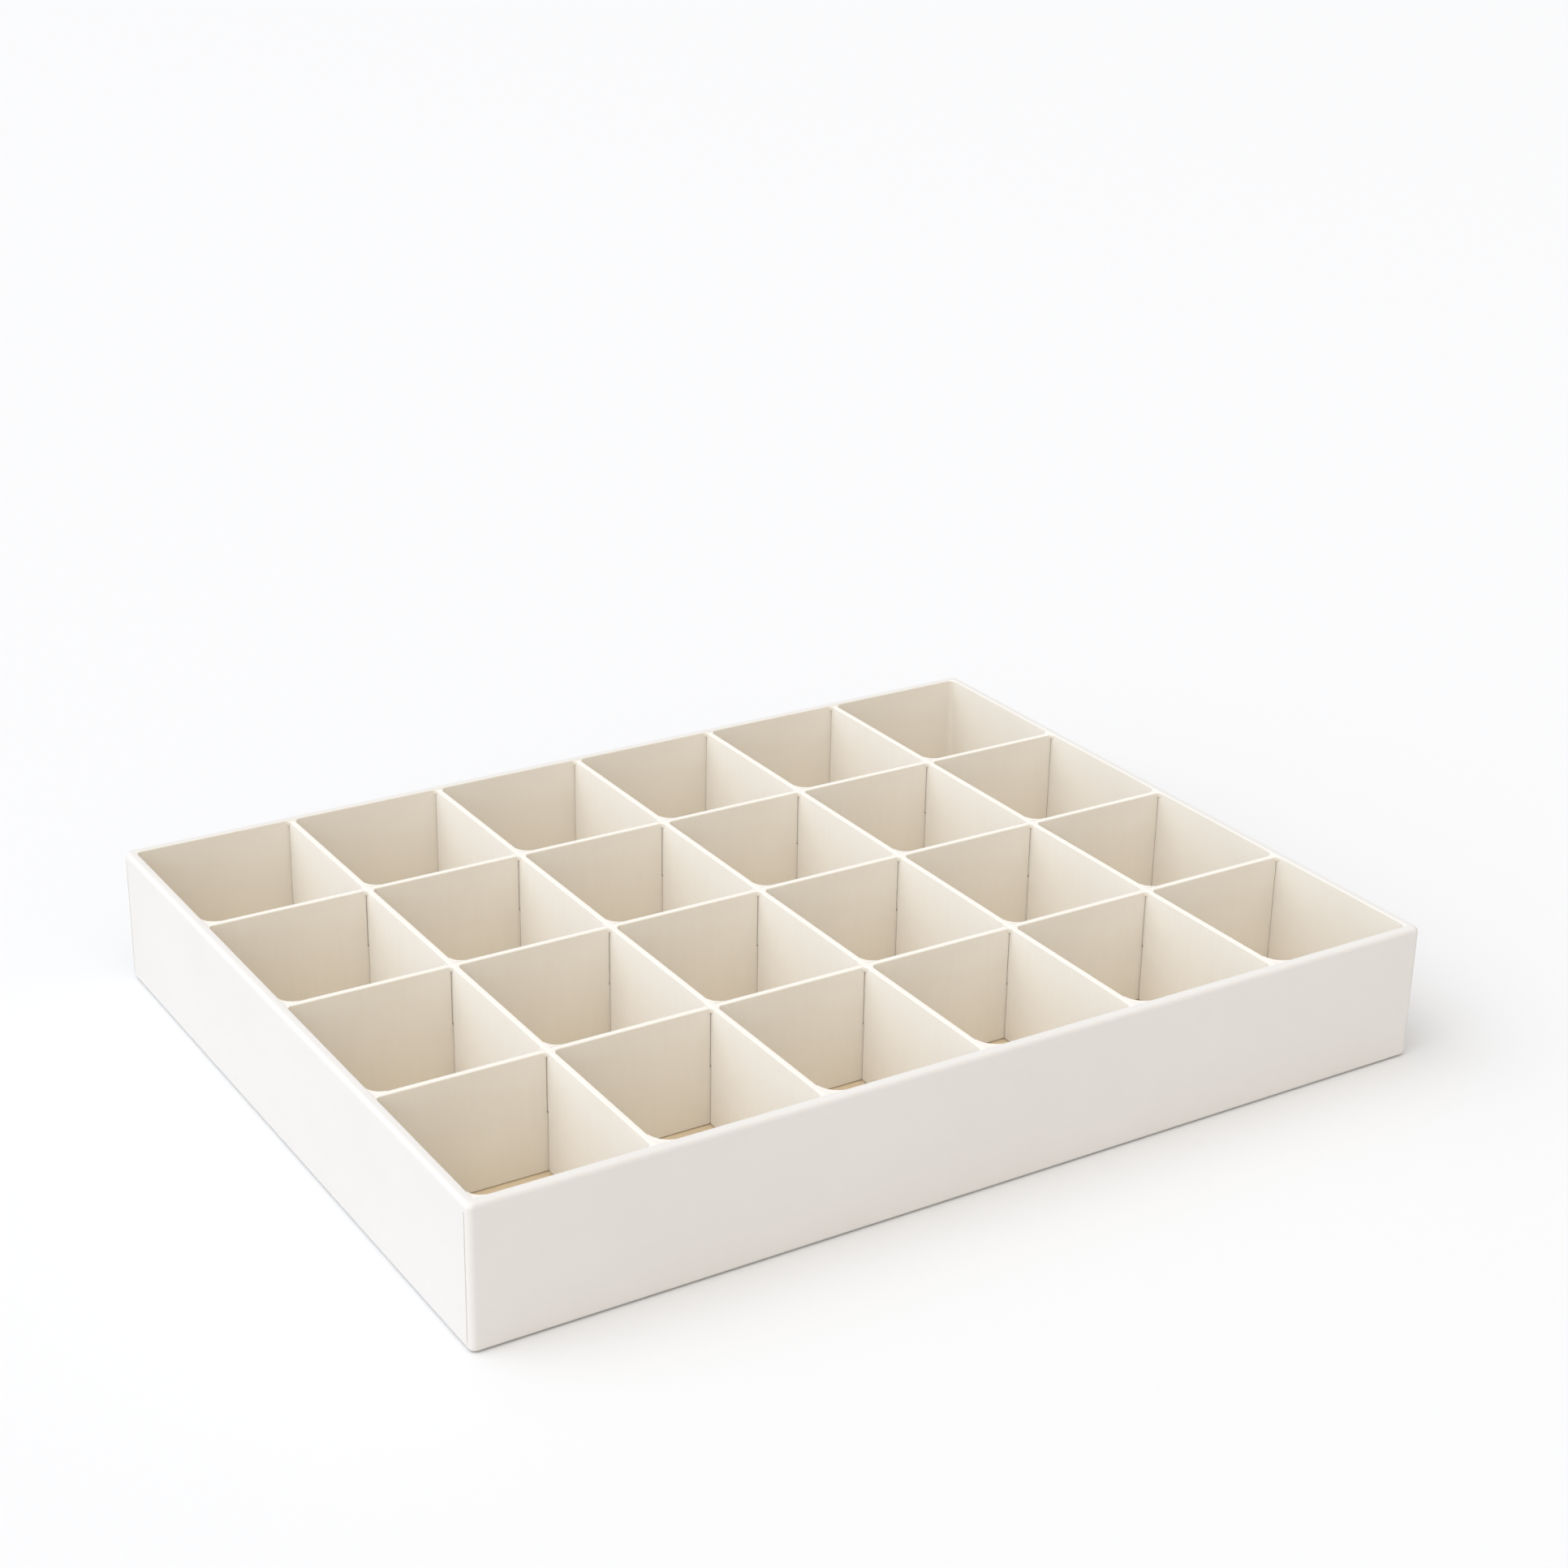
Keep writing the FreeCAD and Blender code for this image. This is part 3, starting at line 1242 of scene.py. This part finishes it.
# ------------------------ studio
@dataclass(frozen=True)
class Camera:
    """The studio camera, placed from the front left corner of the tray's underside."""

    from_corner: tuple[float, float, float] = (-165.02 * MM, -352.17 * MM, 265.39 * MM)
    heading_degrees: float = 57.654
    elevation_degrees: float = -22.919
    roll_degrees: float = -1.165
    lens_mm: float = 64.673
    sensor_mm: float = 36.0
    near_clip: float = 0.01
    far_clip: float = 50.0

    def _forward(self) -> Vector:
        """The viewing direction.

        Returns:
            A unit vector.
        """
        heading = math.radians(self.heading_degrees)
        elevation = math.radians(self.elevation_degrees)
        return Vector((math.cos(elevation) * math.cos(heading),
                       math.cos(elevation) * math.sin(heading), math.sin(elevation)))

    def build(self) -> None:
        """Set up the camera and make it the scene's."""
        data = bpy.data.cameras.new("studio_camera")
        data.sensor_width = self.sensor_mm
        data.lens = self.lens_mm
        data.clip_start = self.near_clip
        data.clip_end = self.far_clip
        camera = bpy.data.objects.new("studio_camera", data)
        bpy.context.scene.collection.objects.link(camera)
        low, _ = CAD_BOX
        camera.location = Vector((low.x, low.y, low.z)) + Vector(self.from_corner)
        forward = self._forward()
        turn = forward.to_track_quat("-Z", "Y")
        turn.rotate(Quaternion(forward, math.radians(self.roll_degrees)))
        camera.rotation_mode = "QUATERNION"
        camera.rotation_quaternion = turn
        bpy.context.scene.camera = camera


@dataclass(frozen=True)
class Surround:
    """Soft light from all round: a smooth gradient with a broad key from the upper left."""

    level: float = 0.615
    gradient: tuple[float, float, float] = (-0.44, -0.17, 0.5)
    key_axis: tuple[float, float, float] = (-0.565, 0.1, 0.819)
    key_strength: float = 1.8
    key_sharpness: float = 8.0
    cool_side: tuple[float, float, float] = (-0.67, 0.74, 0.0)
    cool: Colour = (0.945, 1.015, 1.12)
    warm: Colour = (1.055, 0.97, 0.86)

    def build(self) -> None:
        """Light the scene's world."""
        world = bpy.data.worlds.new("studio_surround")
        shader = Shader(world, "ShaderNodeOutputWorld")
        direction = shader.node("ShaderNodeTexCoord", output="Generated")
        brighter = self._along(shader, direction, self.gradient)
        cooler = self._along(shader, direction, self.cool_side)
        tint = shader.blend(cooler * 0.5 + 0.5, self.warm, self.cool)
        strength = brighter + self.level + self._key(shader, direction) * self.key_strength
        inputs = {"Color": tint, "Strength": strength}
        shader.close(shader.node("ShaderNodeBackground", None, inputs))
        bpy.context.scene.world = world

    def _key(self, shader: Shader, direction: Wire) -> Wire:
        """A broad lobe of light.

        Args:
            shader: The light under construction.
            direction: The direction looked along.

        Returns:
            1 along the lobe's axis, falling to 0 at right angles to it.
        """
        facing = self._along(shader, direction, self.key_axis)
        facing = shader.node("ShaderNodeMath", {"operation": "MAXIMUM"}, {0: facing, 1: 0.0})
        return shader.node("ShaderNodeMath", {"operation": "POWER"},
                           {0: facing, 1: self.key_sharpness})

    @staticmethod
    def _along(shader: Shader, direction: Wire, axis: Sequence[float]) -> Wire:
        """How far a direction points along an axis."""
        return shader.node("ShaderNodeVectorMath", {"operation": "DOT_PRODUCT"},
                           {0: direction, 1: tuple(axis)}, output="Value")


@dataclass(frozen=True)
class Studio:
    """Plain pale floor, soft light all round and the camera."""

    floor_size: float = 24.0
    floor_colour: Colour = (0.79, 0.79, 0.79)
    floor_shade: Colour = (0.785, 0.785, 0.785)
    floor_roughness: float = 0.95
    grain_size: float = 3.0 * MM
    grain_detail: float = 2.0
    grain_depth: float = 0.002 * MM

    def build(self) -> None:
        """Build the whole studio."""
        self._floor()
        Surround().build()
        Camera().build()
        bpy.context.scene.view_settings.view_transform = "Standard"

    def _floor(self) -> None:
        """Lay the floor under the tray."""
        Bench.clear_selection()
        bpy.ops.mesh.primitive_plane_add(size=self.floor_size, location=(0.0, 0.0, CAD_BOX[0].z))
        floor = Bench.name_new("studio_floor")
        shader = Shader.named("studio_floor")
        grain = shader.noise(self.grain_size, self.grain_detail)
        colour = shader.blend(grain, self.floor_colour, self.floor_shade)
        floor.data.materials.append(
            shader.finish(colour, self.floor_roughness, grain, self.grain_depth))


def main() -> None:
    """Build the tray, its grid and the studio."""
    logging.basicConfig(level=logging.INFO, format="%(name)s: %(message)s")
    wardrobe = Wardrobe()
    HiddenBoards().build(wardrobe)
    PaperWrap().build(wardrobe)
    sheets = FlatSheets()
    sheets.build_lining(wardrobe)
    sheets.build_underside(wardrobe)
    DividerGrid().build(wardrobe)
    Studio().build()


if __name__ == "__main__":
    main()
